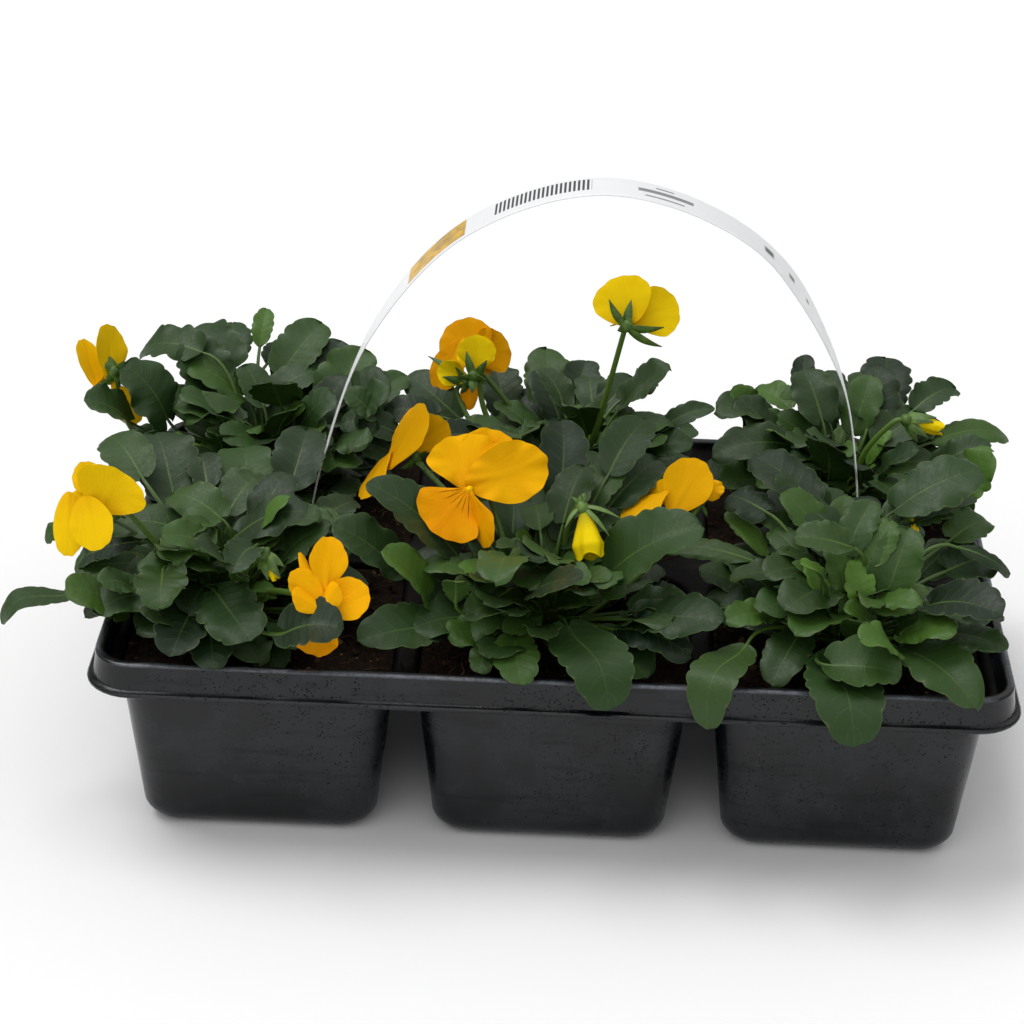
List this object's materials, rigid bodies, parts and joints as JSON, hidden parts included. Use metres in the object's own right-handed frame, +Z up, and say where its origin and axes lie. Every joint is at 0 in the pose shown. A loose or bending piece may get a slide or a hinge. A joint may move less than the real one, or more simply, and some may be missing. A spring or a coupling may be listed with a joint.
{
  "type": "potted pansy planter",
  "caption": "Carry pack of young golden-yellow bedding pansies in a black thermoformed cell tray with a thin white carrying strap arched over it.",
  "frame": {"origin": "middle of the whole pack's box, leaves included, at the level the tray stands on", "axes": "+Z up, +X along the tray to the right, +Y to the back"},
  "size_m": [0.332, 0.2038, 0.1953],
  "materials": {
    "tray_plastic": "satin",
    "strap_plastic": "satin",
    "soil": "matte",
    "leaf": "satin",
    "stem": "satin",
    "petal": "matte"
  },
  "bodies": {
    "root": {"tray": "tray_plastic", "carry_strap": "strap_plastic", "soil_front_left": "soil", "soil_front_middle": "soil", "soil_front_right": "soil", "soil_back_left": "soil", "soil_back_middle": "soil", "soil_back_right": "soil", "petals_far_left": "petal", "stem_far_left": "stem", "petals_left": "petal", "stem_left": "stem", "petals_low_left": "petal", "stem_low_left": "stem", "petals_back_orange": "petal", "stem_back_orange": "stem", "petals_half_open_upper": "petal", "stem_half_open_upper": "stem", "petals_half_open_lower": "petal", "stem_half_open_lower": "stem", "petals_side_middle": "petal", "stem_side_middle": "stem", "petals_face_middle": "petal", "stem_face_middle": "stem", "petals_tall": "petal", "stem_tall": "stem", "petals_right_middle": "petal", "stem_right_middle": "stem", "petals_nodding_bud": "petal", "stem_nodding_bud": "stem", "petals_right_bud": "petal", "stem_right_bud": "stem", "petals_left_bud": "petal", "stem_left_bud": "stem", "petals_hidden_bud": "petal", "stem_hidden_bud": "stem", "plant_front_left": "leaf", "plant_front_middle": "leaf", "plant_front_right": "leaf", "plant_back_left": "leaf", "plant_back_middle": "leaf", "plant_back_right": "leaf"}
  },
  "joints": []
}
